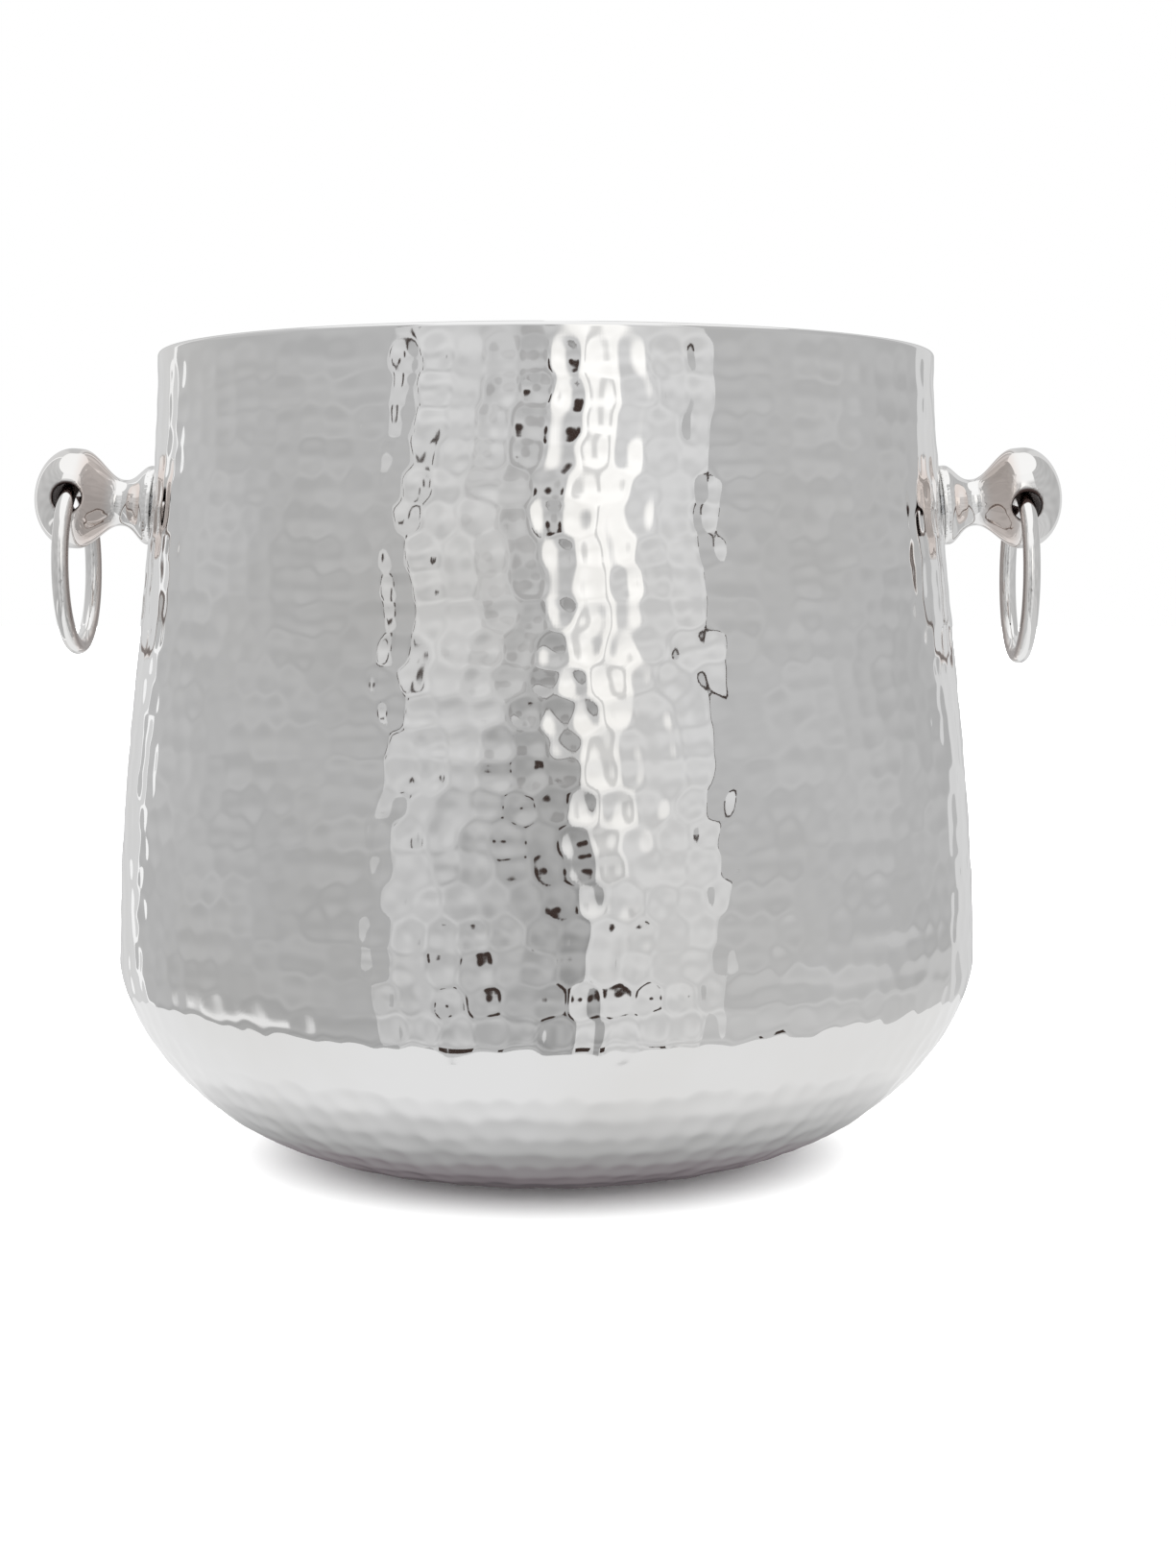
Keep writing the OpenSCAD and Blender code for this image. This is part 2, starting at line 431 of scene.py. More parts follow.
def columns_at(s, fine):
    """How many vertices a ring has: fewer where it is small, so that they stay about as far apart."""
    r = float(outline.at(s)[0])
    share = next(share for least, share in COLUMN_SHARES if r > least)
    return int(fine * share)


def build_shell(material):
    """The shell as one closed skin, followed from the middle of its underside round to the inside."""
    skin = Skin()
    ring = underside(skin)
    # The outer face, up to the rim.
    steps = round(outline.length / OUTER_STEP)
    for s in np.linspace(0, outline.length, steps + 1)[1:]:
        ring = skin.follow(ring, skin.ring(s, columns_at(s, OUTER_COLUMNS)))
    # The rounded rim.
    rim_r = outline.r[-1] - RIM_ROUND
    rim_z = outline.z[-1]
    for row in range(1, RIM_ROWS + 1):
        a = math.pi * row / RIM_ROWS
        c, s = math.cos(a), math.sin(a)
        new = plain_ring(skin, rim_r + RIM_ROUND * c, rim_z + RIM_ROUND * s, c, s, INNER_COLUMNS)
        ring = skin.follow(ring, new)
    # The hem's upright inner face, its lower edge and the step under it.
    hem_r = rim_r - RIM_ROUND
    hem_z = BUCKET_H - HEM_H
    for up, turn in HEM_TURNS:
        a = math.radians(turn)
        z = hem_z + up * HEM_EDGE
        shift = HEM_EDGE * (1 - math.cos(a)) / 2
        new = plain_ring(skin, hem_r + shift, z, -math.cos(a), -math.sin(a), INNER_COLUMNS)
        ring = skin.follow(ring, new)
    under_s = outline.s_at_z(hem_z - HEM_GAP)
    r, z = outline.at(under_s)[:2]
    ring = skin.follow(ring, plain_ring(skin, r - WALL_T, z, *UNDER_HEM_WAY, INNER_COLUMNS))
    # The inner face, down to the foot and its middle.
    steps = round(under_s / INNER_STEP)
    for s in np.linspace(under_s, 0, steps + 1)[1:-1]:
        ring = skin.follow(ring, skin.ring(s, columns_at(s, INNER_COLUMNS), inside=True))
    for r in (FOOT_R, FLAT_R):
        ring = skin.follow(ring, plain_ring(skin, r, WALL_T, 0.0, 1.0, FOOT_COLUMNS))
    for row in range(KICK_ROWS, 0, -1):
        ring = skin.follow(ring, kick_ring(skin, row, 1))
    fan(skin, ring, skin.add(0.0, KICK_H + WALL_T, 0.0, 1.0, np.zeros(1)))
    return make_piece(
        "hammered_shell",
        np.concatenate(skin.points),
        np.concatenate(skin.normals),
        [np.concatenate(skin.quads), np.concatenate(skin.triangles)],
        material,
        "bucket",
        ["shell"],
    )


# ---------------------------------------------------------------- knobs

KNOB_U = (KNOB_Z - BELLY_Z) / WALL_H
KNOB_X = float(wall_r(KNOB_U))
KNOB_TILT = math.atan((wall_r(KNOB_U - 0.01) - wall_r(KNOB_U + 0.01)) / (0.02 * WALL_H))


def ease(s):
    return (1 - np.cos(math.pi * s)) / 2


def knob_outline(steps=72):
    """The knob's outline as (radius, distance from the wall), from the middle of its back to its tip."""
    s = np.linspace(1, 0, steps)
    flare = np.stack(
        [NECK_R + (FLANGE_R - NECK_R) * ease(s**FLARE_POWER), NECK_D - (NECK_D - FLANGE_T) * s], -1
    )
    s = np.linspace(0, 1, steps)[1:]
    side = np.stack([NECK_R + (BALL_R - NECK_R) * ease(s), NECK_D + (WAIST_D - NECK_D) * s], -1)
    a = np.linspace(0, math.pi / 2, steps)
    cap = np.stack([BALL_R * np.cos(a), CAP_D + CAP_H * np.sin(a)], -1)
    a = np.linspace(-math.pi / 2, 0, 12)
    corner = np.stack(
        [FLANGE_R - BACK_EDGE + BACK_EDGE * np.cos(a), BASE_GAP + BACK_EDGE + BACK_EDGE * np.sin(a)], -1
    )
    a = np.linspace(0, LIP_TURN, 8)
    upper = np.stack(
        [FLANGE_R - FLANGE_LIP + FLANGE_LIP * np.cos(a), FLANGE_T - FLANGE_LIP + FLANGE_LIP * np.sin(a)], -1
    )
    flare = flare[flare[:, 1] > FLANGE_T + 0.05 * MM]
    back_r = np.linspace(0, FLANGE_R - BACK_EDGE, 20)[:-1]
    back = np.stack([back_r, np.full(len(back_r), BASE_GAP)], -1)
    return np.concatenate([back, corner, upper, flare, side, cap])


class KnobField:
    """Signed distance to the knob, negative inside: a turned body less the ring's passage and the thread."""

    def __init__(self, hole_offset):
        self.hole = hole_offset
        self.line = knob_outline()
        ahead = np.diff(self.line, axis=0)
        length = np.linalg.norm(ahead, axis=1)
        self.start = self.line[:-1][length > 1e-9]
        self.ahead = ahead[length > 1e-9]
        self.length = length[length > 1e-9]
        normal = np.stack([self.ahead[:, 1], -self.ahead[:, 0]], -1) / self.length[:, None]
        corner = np.concatenate([normal[:1], normal[:-1] + normal[1:], normal[-1:]])
        corner = corner / np.linalg.norm(corner, axis=1, keepdims=True)
        self.corner = corner

    def turned(self, r, d):
        """Distance to the outline and its direction, in the (radius, distance) plane."""
        pairs, place = np.unique(np.round(np.stack([r, d], -1), 9), axis=0, return_inverse=True)
        value = np.empty(len(pairs))
        direction = np.empty((len(pairs), 2))
        for i in range(0, len(pairs), BATCH):
            p = pairs[i : i + BATCH]
            rel = p[:, None] - self.start[None]
            share = np.clip(np.einsum("ijk,jk->ij", rel, self.ahead) / self.length**2, 0, 1)
            gap = rel - share[..., None] * self.ahead[None]
            dist = np.einsum("ijk,ijk->ij", gap, gap)
            best = dist.argmin(1)
            row = np.arange(len(p))
            w = share[row, best][:, None]
            normal = self.corner[best] * (1 - w) + self.corner[best + 1] * w
            normal = normal / np.linalg.norm(normal, axis=1, keepdims=True)
            nearest = gap[row, best]
            side = np.sign(np.einsum("ij,ij->i", nearest, normal) + 1e-15)
            value[i : i + BATCH] = side * np.sqrt(dist[row, best])
            direction[i : i + BATCH] = normal
        place = place.ravel()
        return value[place], direction[place]

    def passage(self, p):
        """Distance outside the ring's passage and its direction."""
        reach = np.abs(p[:, 1])
        arc = (RING_R + WIRE_R) + RING_GAP
        barrel = np.sqrt(np.maximum(arc**2 - reach**2, 1e-12)) - RING_HANG
        straight = np.full_like(reach, HOLE_R)
        flare = HOLE_R + MOUTH_FLARE * smooth((reach - MOUTH_START) / (MOUTH_END - MOUTH_START) / 2) * 2
        wide = np.maximum(np.maximum(barrel, straight), flare)
        slope = np.where(barrel > straight, -reach / np.maximum(barrel + RING_HANG, 1e-6), 0)
        step = 0.01 * MM
        ahead = smooth((reach + step - MOUTH_START) / (MOUTH_END - MOUTH_START) / 2)
        behind = smooth((reach - step - MOUTH_START) / (MOUTH_END - MOUTH_START) / 2)
        slope = np.where(reach > MOUTH_START, MOUTH_FLARE * 2 * (ahead - behind) / (2 * step), slope)
        off = p[:, [0, 2]] - self.hole
        away = np.linalg.norm(off, axis=1)
        radial = off / np.maximum(away, 1e-9)[:, None]
        normal = np.stack([radial[:, 0], -slope * np.sign(p[:, 1]), radial[:, 1]], -1)
        size = np.linalg.norm(normal, axis=1)
        return (away - wide) / size, normal / size[:, None]

    def at(self, p):
        """Value and direction at points given as (out from the wall, around, up)."""
        r = np.hypot(p[:, 1], p[:, 2])
        value, flat = self.turned(r, p[:, 0])
        spin = p[:, 1:] / np.maximum(r, 1e-9)[:, None]
        direction = np.stack([flat[:, 1], flat[:, 0] * spin[:, 0], flat[:, 0] * spin[:, 1]], -1)
        gap, away = self.passage(p)
        value, direction = smooth_max(value, direction, -gap, -away, MOUTH_BLEND)
        thread = np.maximum(r - THREAD_R, p[:, 0] - THREAD_D)
        side = (r - THREAD_R > p[:, 0] - THREAD_D)[:, None]
        thread_away = np.where(side, np.stack([0 * r, spin[:, 0], spin[:, 1]], -1), [[1.0, 0.0, 0.0]])
        return smooth_max(value, direction, -thread, -thread_away, THREAD_BLEND)


def smooth_max(a, a_way, b, b_way, blend):
    """The larger of two values, rounded where they meet, and the direction in which it grows."""
    near = np.clip((blend - np.abs(a - b)) / blend, 0, 1)
    share = np.where(a > b, 1 - near / 2, near / 2)[:, None]
    way = a_way * share + b_way * (1 - share)
    way = way / np.maximum(np.linalg.norm(way, axis=1, keepdims=True), 1e-9)
    return np.maximum(a, b) + near**2 * blend / 4, way


def surface_net(field, low, high, step):
    """A quad mesh of a field's zero surface: one vertex in each grid cell that it crosses."""
    axes = [np.arange(low[i], high[i] + step, step) for i in range(3)]
    grid = np.stack(np.meshgrid(*axes, indexing="ij"), -1)
    shape = grid.shape[:3]
    value = field.at(grid.reshape(-1, 3))[0].reshape(shape)
    inside = value < 0
    total = np.zeros([n - 1 for n in shape] + [3])
    hits = np.zeros([n - 1 for n in shape])
    edges = []
    for axis in range(3):
        lower = [slice(None)] * 3
        upper = [slice(None)] * 3
        lower[axis] = slice(0, -1)
        upper[axis] = slice(1, None)
        a, b = value[tuple(lower)], value[tuple(upper)]
        crossed = inside[tuple(lower)] != inside[tuple(upper)]
        where = np.argwhere(crossed)
        va, vb = a[crossed], b[crossed]
        point = grid[tuple(lower)][crossed].copy()
        point[:, axis] += va / (va - vb) * step
        others = [i for i in range(3) if i != axis]
        for da in (0, 1):
            for db in (0, 1):
                cell = where.copy()
                cell[:, others[0]] -= da
                cell[:, others[1]] -= db
                ok = (cell >= 0).all(1) & (cell < np.array(hits.shape)).all(1)
                index = tuple(cell[ok].T)
                np.add.at(total, index, point[ok])
                np.add.at(hits, index, 1)
        edges.append((where, others))
    number = np.full(hits.shape, -1, np.int64)
    number[hits > 0] = np.arange(int((hits > 0).sum()))
    points = total[hits > 0] / hits[hits > 0][:, None]
    quads = []
    for where, others in edges:
        cells = []
        for da, db in ((0, 0), (1, 0), (1, 1), (0, 1)):
            cell = where.copy()
            cell[:, others[0]] -= da
            cell[:, others[1]] -= db
            cells.append(number[tuple(cell.T)])
        quads.append(np.stack(cells, -1))
    for _ in range(3):
        value, way = field.at(points)
        points = points - value[:, None] * way
    return points, field.at(points)[1], np.concatenate(quads)


ring_low, ring_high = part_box("ring_left")
WIRE_R = (ring_high.x - ring_low.x) / 2
RING_R = (ring_high.y - ring_low.y) / 2 - WIRE_R


def build_knob(side, material):
    """side is -1 on the left and 1 on the right."""
    name = "left" if side < 0 else "right"
    low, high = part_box("ring_" + name)
    ring_mid = (low + high) / 2
    hole = Vector((side * ring_mid.x - KNOB_X, ring_mid.z + RING_HANG - KNOB_Z))
    c, s = math.cos(KNOB_TILT), math.sin(KNOB_TILT)
    hole_offset = np.array([hole.x * c + hole.y * s, -hole.x * s + hole.y * c])
    field = KnobField(hole_offset)
    wide = BALL_R + KNOB_MARGIN
    points, normals, quads = surface_net(
        field, (BASE_GAP - KNOB_MARGIN, -wide, -wide), (CAP_D + CAP_H + KNOB_MARGIN, wide, wide), KNOB_GRID
    )
    # Marks for painted light: a painted brown reflection on the front half of the waist, towards -Y, and
    # painted dark shade in the ring's passage and round its mouths.
    waist = between(points[:, 0], 11 * MM, 18 * MM, 4 * MM)
    marks = {
        "painted_shade": 1 - smooth((field.passage(points)[0] - 0.15 * MM) / (0.5 * MM)),
        "tarnish_and_painted_reflection": waist * smooth((-points[:, 1] + 9 * MM) / (4 * MM)),
    }
    turn = np.array([[c, 0, -s], [0, 1, 0], [s, 0, c]])
    points = points @ turn.T + [KNOB_X, 0, KNOB_Z]
    normals = normals @ turn.T
    points[:, 0] *= side
    normals[:, 0] *= side
    return make_piece(
        "turned_knob_" + name,
        points,
        normals,
        [quads],
        material,
        "bucket",
        ["knob_" + name],
        marks,
    )


# ---------------------------------------------------------------- rings

def build_ring(side, material):
    name = "left" if side < 0 else "right"
    low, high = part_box("ring_" + name)
    centre = np.array((low + high) / 2)
    around = np.arange(RING_STEPS) * TURN / RING_STEPS
    across = np.arange(WIRE_STEPS) * TURN / WIRE_STEPS
    a, b = np.meshgrid(around, across, indexing="ij")
    normals = np.stack([np.sin(b), np.cos(b) * np.cos(a), np.cos(b) * np.sin(a)], -1)
    middle = np.stack([0 * a, RING_R * np.cos(a), RING_R * np.sin(a)], -1)
    points = centre + middle + WIRE_R * normals
    number = np.arange(a.size).reshape(a.shape)
    right = np.roll(number, -1, 0)
    quads = np.stack([number, right, np.roll(right, -1, 1), np.roll(number, -1, 1)], -1)
    # Marks for painted light on the wire's face towards the bucket: a painted brown reflection, and painted
    # dark shade along its middle.
    inward = -side * normals[..., 0].ravel()
    marks = {
        "tarnish_and_painted_reflection": 0.9 * smooth((inward - 0.45) / 0.4),
        "painted_shade": 0.6 * smooth((inward - 0.72) / 0.22),
    }
    return make_piece(
        "wire_ring_" + name,
        points.reshape(-1, 3),
        normals.reshape(-1, 3),
        [quads.reshape(-1, 4)],
        material,
        "ring_" + name,
        ["ring_" + name],
        marks,
    )


# ---------------------------------------------------------------- materials

SILVER = (0.87, 0.87, 0.87)
BRIGHT_SILVER = (0.94, 0.937, 0.932)
STEEL = (0.6, 0.61, 0.63)
RUBBER = (0.012, 0.012, 0.012, 1)
# Colours of painted light in the metal: a painted brown reflection, and the dark of a painted shade with the
# roughness used there.
PAINTED_REFLECTION_BROWN = (0.8, 0.72, 0.68, 1)
PAINTED_SHADE_COLOUR = (0.09, 0.06, 0.055, 1)
BORE_ROUGHNESS = 0.38


class Recipe:
    """A node material and the helpers that add nodes to it."""

    def __init__(self, name):
        self.material = bpy.data.materials.new(name)
        self.material.use_nodes = True
        self.nodes = self.material.node_tree.nodes
        self.shader = self.nodes["Principled BSDF"]

    def add(self, kind, values=None, **inputs):
        """A new node with numbers on its named sockets, and with the given outputs linked to its inputs."""
        node = self.nodes.new(kind)
        self.set(node, values or {})
        for socket, source in inputs.items():
            self.link(source, node.inputs[socket])
        return node

    def set(self, node, values):
        for socket, value in values.items():
            node.inputs[socket].default_value = value

    def link(self, source, target):
        self.material.node_tree.links.new(source, target)

    def mark(self, name):
        """The share that the mesh holds for each vertex under this name."""
        node = self.nodes.new("ShaderNodeAttribute")
        node.attribute_name = name
        return node.outputs["Fac"]

    def blend(self, share, first, second):
        """A colour blended from first, which is an output, to second, which is a colour."""
        node = self.nodes.new("ShaderNodeMix")
        node.data_type = "RGBA"
        node.inputs["B"].default_value = second
        self.link(share, node.inputs["Factor"])
        self.link(first, node.inputs["A"])
        return node.outputs["Result"]

    def noise(self, vector, scale, detail, **values):
        return self.add(
            "ShaderNodeTexNoise", {"Scale": scale, "Detail": detail, **values}, Vector=vector
        ).outputs["Fac"]

    def bump(self, height, strength, distance):
        node = self.add("ShaderNodeBump", {"Strength": strength, "Distance": distance}, Height=height)
        self.link(node.outputs["Normal"], self.shader.inputs["Normal"])


def polished_metal(name, colour, roughness, tarnish_and_painted_reflection, scratch):
    """Mirror-polished metal with faint smears, hairline scratches and a little tarnishing in foggy patches,
    with painted light from the mesh's marks: a painted brown reflection and a painted dark shade.

    The fourth argument is how much of each of the colour's parts is left in the foggy patches."""
    recipe = Recipe(name)
    shader = recipe.shader
    recipe.set(shader, {"Metallic": 1.0})
    place = recipe.nodes.new("ShaderNodeTexCoord").outputs["Object"]
    shine = recipe.add(
        "ShaderNodeMapRange",
        {"From Min": 0.3, "From Max": 0.75, "To Min": roughness * 0.7, "To Max": roughness * 1.6},
        Value=recipe.noise(place, 38, 6, Roughness=0.62),
    )
    # The mesh's mark for painted dark shade: there the colour turns dark and the finish rough.
    painted_shade = recipe.mark("painted_shade")
    dull = recipe.add("ShaderNodeMix", {"B": BORE_ROUGHNESS}, Factor=painted_shade, A=shine.outputs["Result"])
    recipe.link(dull.outputs["Result"], shader.inputs["Roughness"])
    tone = recipe.nodes.new("ShaderNodeMix")
    tone.data_type = "RGBA"
    tone.inputs["A"].default_value = (*colour, 1)
    tone.inputs["B"].default_value = (*[c * t for c, t in zip(colour, tarnish_and_painted_reflection)], 1)
    fog = recipe.noise(place, 14, 8)
    spread = recipe.add("ShaderNodeMapRange", {"From Min": 0.45, "From Max": 0.8}, Value=fog)
    recipe.link(spread.outputs["Result"], tone.inputs["Factor"])
    # The mesh's mark for a painted brown reflection turns the colour brown.
    side = recipe.blend(recipe.mark("tarnish_and_painted_reflection"), tone.outputs["Result"], PAINTED_REFLECTION_BROWN)
    recipe.link(recipe.blend(painted_shade, side, PAINTED_SHADE_COLOUR), shader.inputs["Base Color"])
    stretch = recipe.add(
        "ShaderNodeMapping", {"Scale": (1, 1, 0.12), "Rotation": (0.3, 0.5, 0)}, Vector=place
    )
    recipe.bump(recipe.noise(stretch.outputs["Vector"], 2200, 3), scratch, 0.002 * MM)
    return recipe.material


def rubber():
    """Matt black rubber with a fine moulded grain."""
    recipe = Recipe("seal_rubber")
    recipe.set(recipe.shader, {"Base Color": RUBBER})
    grain = recipe.noise(recipe.nodes.new("ShaderNodeTexCoord").outputs["Object"], 900, 4)
    dull = recipe.add("ShaderNodeMapRange", {"To Min": 0.55, "To Max": 0.8}, Value=grain)
    recipe.link(dull.outputs["Result"], recipe.shader.inputs["Roughness"])
    recipe.bump(grain, 0.3, 0.05 * MM)
    return recipe.material


# ---------------------------------------------------------------- studio

CARD_R = 450 * MM
ROD_R = CARD_R - 10 * MM
FLOOR_GAIN = 3.6
FLOOR_HALF = 6.0
FLOOR_Z = -0.05 * MM
BUCKET_SHADE_Y = 45 * MM
GLOW_Z = -0.3 * MM


def glossy_only(thing):
    """The thing shows in reflections and nowhere else, and casts no light or shadow of its own."""
    thing.visible_camera = False
    thing.visible_diffuse = False
    thing.visible_transmission = False
    thing.visible_volume_scatter = False
    thing.visible_shadow = False


def glow_sheet(name, points, colour, closed=False):
    """A grid of points that shines with its own colour at each point, seen only in reflections."""
    shape = points.shape[:2]
    number = np.arange(shape[0] * shape[1]).reshape(shape)
    if closed:
        number = np.concatenate([number, number[:1]])
    quads = np.stack([number[:-1, :-1], number[1:, :-1], number[1:, 1:], number[:-1, 1:]], -1)
    mesh = bpy.data.meshes.new(name)
    mesh.from_pydata(points.reshape(-1, 3).tolist(), [], quads.reshape(-1, 4).tolist())
    glow = mesh.color_attributes.new("glow", "FLOAT_COLOR", "POINT")
    colour = np.broadcast_to(colour, points.shape).reshape(-1, 3)
    glow.data.foreach_set("color", np.pad(colour, ((0, 0), (0, 1))).astype(np.float32).ravel())
    material = bpy.data.materials.new(name)
    material.use_nodes = True
    nodes, links = material.node_tree.nodes, material.node_tree.links
    nodes.clear()
    read = nodes.new("ShaderNodeAttribute")
    read.attribute_name = "glow"
    emit = nodes.new("ShaderNodeEmission")
    out = nodes.new("ShaderNodeOutputMaterial")
    links.new(read.outputs["Color"], emit.inputs["Color"])
    links.new(emit.outputs["Emission"], out.inputs["Surface"])
    material.cycles.emission_sampling = "NONE"
    mesh.materials.append(material)
    thing = bpy.data.objects.new(name, mesh)
    bpy.context.scene.collection.objects.link(thing)
    glossy_only(thing)
    return thing


def card(name, az, heights, light, radius=CARD_R, steps=(24, 24)):
    """A curved card round the bucket, between two azimuths in degrees (0 is the front, + is right).

    light is a colour, or a function that gives the colours at azimuths and heights."""
    around = np.linspace(az[0], az[1], steps[0] + 1)
    up = np.linspace(heights[0], heights[1], steps[1] + 1)
    t, z = np.meshgrid(around, up, indexing="ij")
    turn = np.radians(t)
    points = np.stack([radius * np.sin(turn), -radius * np.cos(turn), z], -1)
    return glow_sheet(name, points, light(t, z) if callable(light) else light)


def grey(level):
    return np.repeat(level[..., None], 3, -1)


PANEL_IN_LEFT = -36.5
PANEL_IN_RIGHT = 41.5
PANEL_OUT_LEFT = -122
PANEL_OUT_RIGHT = 128
CARD_HEIGHTS = (-0.6, 0.75)
FRONT_STEPS = (390, 340)
PANEL_STEPS = (24, 140)
BACK_STEPS = (60, 8)
BACK_AZ = (125, 178)
ROD_HALF = 0.35
DARK = np.array([0.05, 0.035, 0.03])
WARM = np.array([1.02, 0.99, 0.93])
# A pink tint for the painted shadow near the foot, in the floor that the bowl sees.
PAINTED_SHADOW_TINT = np.array([0.0, -0.12, -0.06])
STAND_LEVEL = 0.42
WHITE_LEVEL = 0.98
WEDGE_LEVEL = 0.385
WEDGE_AZ = 10.5
WEDGE_TOP = 0.21
LAMP_AZ = 15


def ripple(az, z):
    """The panels' folds: a gentle change with height that drifts around."""
    return 0.02 * np.sin(TURN * z / 0.13 + az / 12) + 0.015 * np.sin(TURN * z / 0.08 - az / 9 + 1)


def left_panel_light(az, z):
    level = 0.47 + 0.045 * z / 0.25 + 0.04 * smooth((-az - 60) / 50) + ripple(az, z)
    patch = between(az, -97, -61, 8) * between(z + 0.0015 * (az + 75), -0.122, -0.078, 0.02)
    return grey(level + (0.9 - level) * patch)


def right_panel_light(az, z):
    level = 0.535 - 0.035 * smooth((az - 80) / 25)
    return grey(level + (0.6 - level) * smooth((0.015 - z) / 0.02) + ripple(az, z + 0.03))


def back_light(az, z):
    """The room behind the panels: a pale wall with a darker strip at its far end, alike at every height."""
    return grey(0.7 - 0.12 * between(np.abs(az), 148, 158, 8) - 0.2 * smooth((np.abs(az) - 166) / 8))


# Fittings in front, each an oval: its middle azimuth and half its width, its middle height and half its
# height, and how dark it is.
FITTINGS = (
    (2.6, 1.9, 0.280, 0.024, 1),
    (5.2, 2.1, 0.100, 0.015, 1),
    (-5.6, 1.3, 0.115, 0.009, 1),
    (-13.5, 2.4, -0.008, 0.024, 1),
    (3.6, 2.2, -0.004, 0.026, 1),
    (8.8, 2.0, -0.004, 0.026, 1),
    (15.5, 1.6, -0.003, 0.015, 1),
    (23.2, 1.7, -0.001, 0.010, 1),
    (-21.5, 1.2, -0.001, 0.008, 1),
    (-30.0, 0.45, 0.270, 0.024, 1),
    (-32.2, 0.5, 0.225, 0.028, 1),
    (-33.6, 0.45, 0.180, 0.022, 1),
    (-31.0, 0.4, 0.150, 0.015, 1),
    (-2.0, 3.0, 0.245, 0.035, 0.22),
    (-6.0, 2.5, 0.200, 0.025, 0.16),
    (1.5, 2.2, 0.172, 0.022, 0.25),
    (-12.0, 4.0, 0.235, 0.030, 0.1),
)


def front_light(az, z):
    """The front: pale, with a grey wedge, a warm lamp's patch, the left panel's bulge and the fittings."""
    # The wedge: its right edge leans left with height, and it fades out to the left and upwards.
    edge = WEDGE_AZ - WEDGE_AZ * (np.clip(z, 0, 0.3) / WEDGE_TOP) ** 3
    start = -28 + 18 * smooth((z - 0.12) / 0.1)
    strength = 1 - smooth((z - 0.16) / 0.06)
    ramp = np.clip((az - start) / (edge - start), 0, 1) * smooth((edge - az) / 0.6 + 0.5)
    # The pale wall around it, with slow folds.
    base = 0.6 + 0.1 * smooth((az - 2) / 12) + 0.075 * between(az, -44, -8, 8) * smooth((z - 0.1) / 0.06)
    level = base - (base - WEDGE_LEVEL) * ramp * strength + 1.6 * ripple(az, z)
    level = level + 0.035 * np.sin(az / 1.7 + 3 * np.sin(z / 0.06)) * np.cos(TURN * z / 0.1)
    # The lamp's patch, with its grey stand down the middle.
    off = np.abs(az - LAMP_AZ + smooth((z - 0.15) / 0.05))
    half = np.interp(z, (0.08, 0.2), (6, 9.5))
    glow = smooth((half - off) / 3) * np.interp(z, (0.05, 0.121, 0.166, 0.2), (0, 0.18, 0.32, 0.42))
    colour = grey(level) + glow[..., None] * WARM
    stand = (0.5 - 0.5 * smooth((off - 0.5) / 1.7)) * between(z, 0.085, 0.262, 20 * MM)
    colour = colour + (STAND_LEVEL - colour) * stand[..., None]
    # White high up, and the left panel's bulge.
    high = smooth((z - 0.4) / 0.12)[..., None]
    colour = colour * (1 - high) + WHITE_LEVEL * high
    bulge = PANEL_IN_LEFT + 3 * between(z, 0.05, 0.23, 60 * MM)
    panel = smooth((bulge - az) / 0.3)[..., None]
    colour = colour * (1 - panel) + grey(0.455 + 0.18 * z + ripple(az, z)) * panel
    # The fittings, and a thin dark line along the wedge's edge.
    dark = np.zeros_like(level)
    for middle, wide, height, tall, depth in FITTINGS:
        away = ((az - middle) / wide) ** 2 + ((z - height) / tall) ** 2
        dark = np.maximum(dark, depth * smooth(1.6 * (1 - away)))
    line = between(az - edge, -0.3, 0.3, 0.3) * between(z, 0.13, 0.2, 20 * MM)
    dark = np.maximum(dark, 0.7 * line)
    return colour * (1 - dark[..., None]) + DARK * dark[..., None]


def disc_points(turn, out):
    """Points of the floor that the bowl sees, out from a place behind the bucket's middle."""
    turn, out = np.meshgrid(turn, out, indexing="ij")
    return np.stack([out * np.cos(turn), BUCKET_SHADE_Y + out * np.sin(turn), 0 * out + GLOW_Z], -1)


# How pale the floor is at each distance out, a painted shadow of the bucket, and the azimuths of the dark
# bits in front of it.
FLOOR_OUT = (0.055, 0.065, 0.072, 0.080, 0.087, 0.098, 0.105, 0.11)
PAINTED_FLOOR_SHADOW = (0.1, 0.22, 0.3, 0.42, 0.55, 0.7, 0.8, 0.85)
FLOOR_BITS = ((-13, -10), (-6, -4), (7, 9.5), (16, 18), (33, 35))
DISC_COLUMNS = 120
DISC_OUT = np.linspace(0.001, 0.187, 80)
BITS_OUT = np.linspace(0.190, 0.200, 3)


def floor_glow():
    """What the bowl sees of the floor: a painted shadow, dark under the bucket and pale further out,
    with a pink tint near the foot, and dark bits in front.
    """
    points = disc_points(np.arange(DISC_COLUMNS) * TURN / DISC_COLUMNS, DISC_OUT)
    away = np.hypot(points[..., 0], points[..., 1])
    level = np.interp(away, FLOOR_OUT, PAINTED_FLOOR_SHADOW)
    # A pink tint in the painted shadow near the foot.
    tint = smooth((0.08 - away) / 0.02)[..., None] * PAINTED_SHADOW_TINT
    glow_sheet("floor_glow", points, grey(level) * (1 + tint), closed=True)
    for i, (low, high) in enumerate(FLOOR_BITS):
        turn = np.radians(np.linspace(low, high, 7) - 90)
        glow_sheet(f"floor_bit_{i}", disc_points(turn, BITS_OUT), DARK)


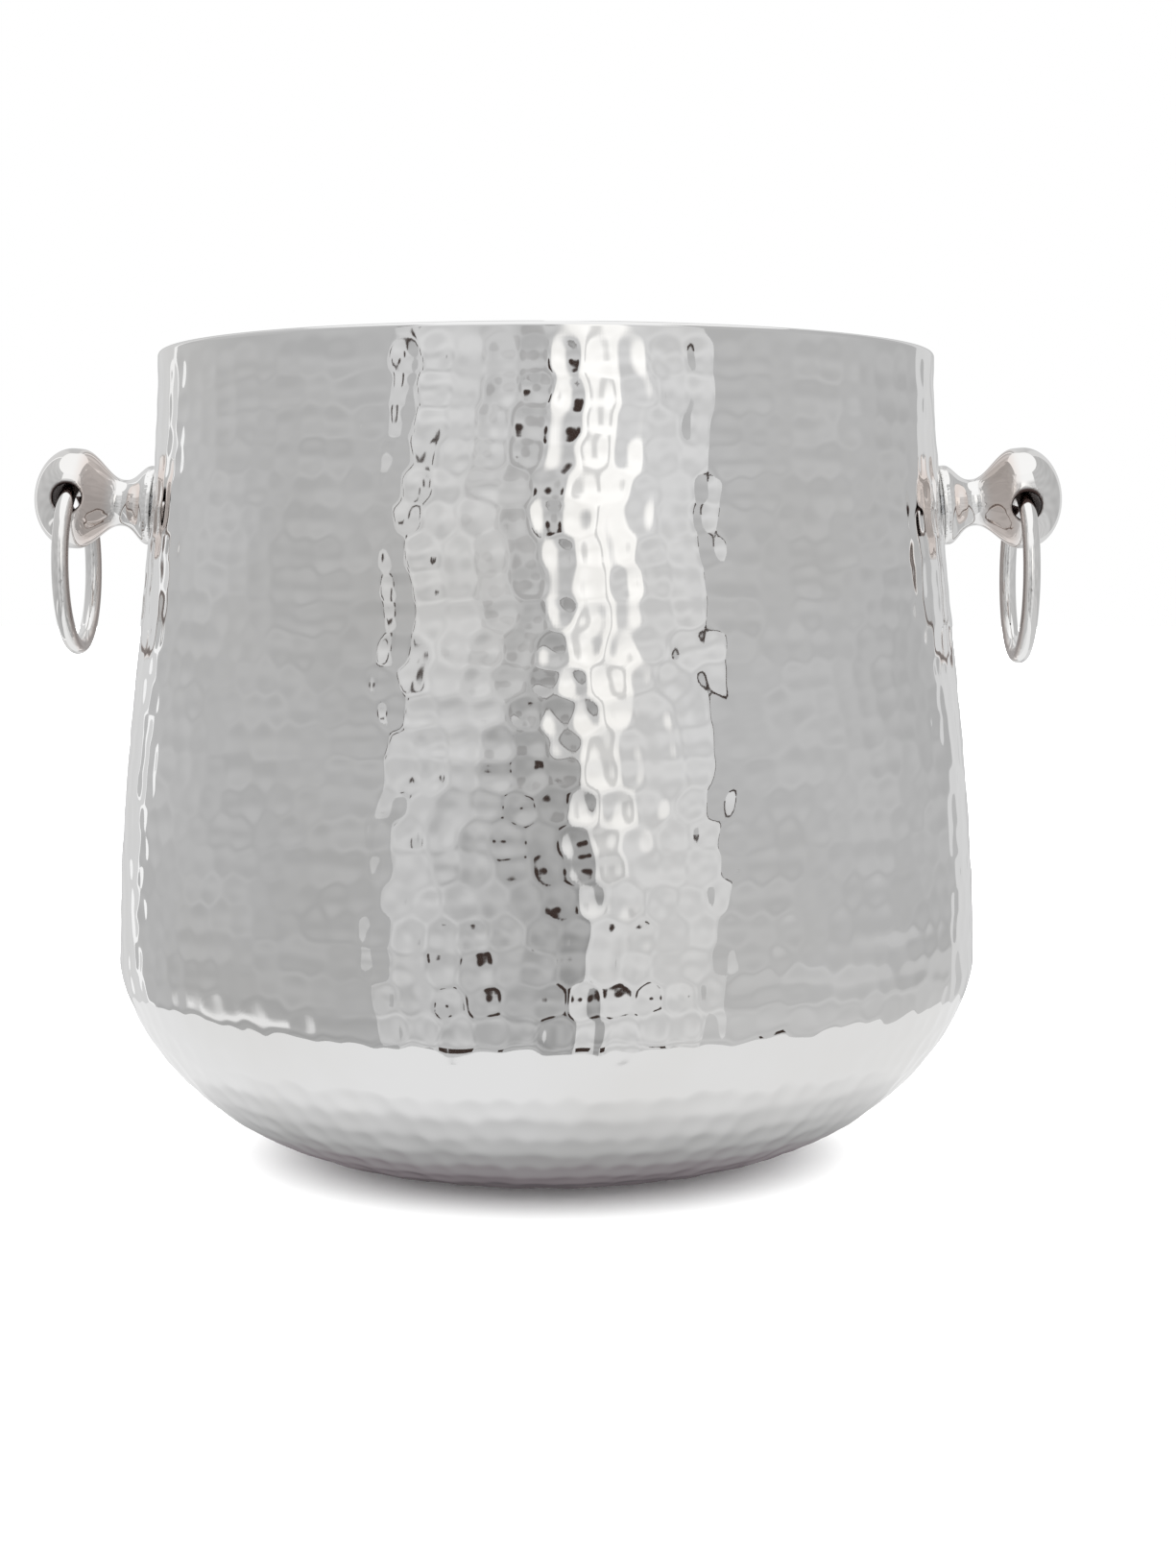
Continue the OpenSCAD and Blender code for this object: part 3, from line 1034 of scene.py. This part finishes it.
def build_studio():
    world = bpy.data.worlds.new("white_room")
    bpy.context.scene.world = world
    world.use_nodes = True
    nodes, links = world.node_tree.nodes, world.node_tree.links
    kind = nodes.new("ShaderNodeLightPath")
    strength = nodes.new("ShaderNodeMapRange")
    strength.inputs["To Min"].default_value = 1.0
    strength.inputs["To Max"].default_value = FLOOR_GAIN
    links.new(kind.outputs["Is Diffuse Ray"], strength.inputs["Value"])
    links.new(strength.outputs["Result"], nodes["Background"].inputs["Strength"])
    nodes["Background"].inputs["Color"].default_value = (1, 1, 1, 1)
    recipe = Recipe("floor_white")
    recipe.set(
        recipe.shader, {"Base Color": (0.93, 0.93, 0.93, 1), "Roughness": 0.9, "Specular IOR Level": 0.1}
    )
    mesh = bpy.data.meshes.new("floor")
    corners = [(x * FLOOR_HALF, y * FLOOR_HALF, FLOOR_Z) for x, y in ((-1, -1), (1, -1), (1, 1), (-1, 1))]
    mesh.from_pydata(corners, [], [(0, 1, 2, 3)])
    mesh.materials.append(recipe.material)
    floor = bpy.data.objects.new("floor", mesh)
    floor.visible_glossy = False
    bpy.context.scene.collection.objects.link(floor)

    card("front_card", (PANEL_IN_LEFT, PANEL_IN_RIGHT), CARD_HEIGHTS, front_light, steps=FRONT_STEPS)
    card("left_panel", (PANEL_OUT_LEFT, PANEL_IN_LEFT), CARD_HEIGHTS, left_panel_light, steps=PANEL_STEPS)
    card("right_panel", (PANEL_IN_RIGHT, PANEL_OUT_RIGHT), CARD_HEIGHTS, right_panel_light, steps=PANEL_STEPS)
    for name, az, heights in (
        ("left_rod", PANEL_IN_LEFT, (0.3, 0.5)),
        ("right_rod", PANEL_IN_RIGHT, (0.1, 0.205)),
    ):
        card(name, (az - ROD_HALF, az + ROD_HALF), heights, DARK, ROD_R)
    for name, side in (("back_left", -1), ("back_right", 1)):
        card(name, (side * BACK_AZ[0], side * BACK_AZ[1]), CARD_HEIGHTS, back_light, steps=BACK_STEPS)
    floor_glow()


CAMERA_AT = (19.9 * MM, -651.7 * MM, 147 * MM)
CAMERA_TURN = (85.25, 0, 0.844)
SENSOR = 36
FOCAL_LENGTH = 59.24
BOUNCES = 24


def build_camera():
    lens = bpy.data.cameras.new("camera")
    lens.sensor_width = SENSOR
    lens.lens = FOCAL_LENGTH
    camera = bpy.data.objects.new("camera", lens)
    camera.location = CAMERA_AT
    camera.rotation_euler = [math.radians(turn) for turn in CAMERA_TURN]
    bpy.context.scene.collection.objects.link(camera)
    bpy.context.scene.camera = camera
    bpy.context.scene.view_settings.view_transform = "Standard"


# ---------------------------------------------------------------- scene

build_camera()
bpy.context.scene.cycles.max_bounces = BOUNCES
bpy.context.scene.cycles.glossy_bounces = BOUNCES
hammered_silver = polished_metal("hammered_silver", SILVER, 0.035, (0.93, 0.92, 0.9), 0.3)
polished_silver = polished_metal("polished_silver", BRIGHT_SILVER, 0.03, (0.92, 0.9, 0.88), 0.3)
steel = polished_metal("steel", STEEL, 0.25, (0.9, 0.9, 0.9), 0.6)
black_rubber = rubber()
build_shell(hammered_silver)
for side in (-1, 1):
    build_knob(side, polished_silver)
    build_ring(side, polished_silver)
for node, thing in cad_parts.items():
    fixing = {"screw": steel, "washer": steel, "seal": black_rubber}.get(node.split("_")[0])
    if fixing:
        for slot in thing.material_slots:
            slot.material = fixing
build_studio()
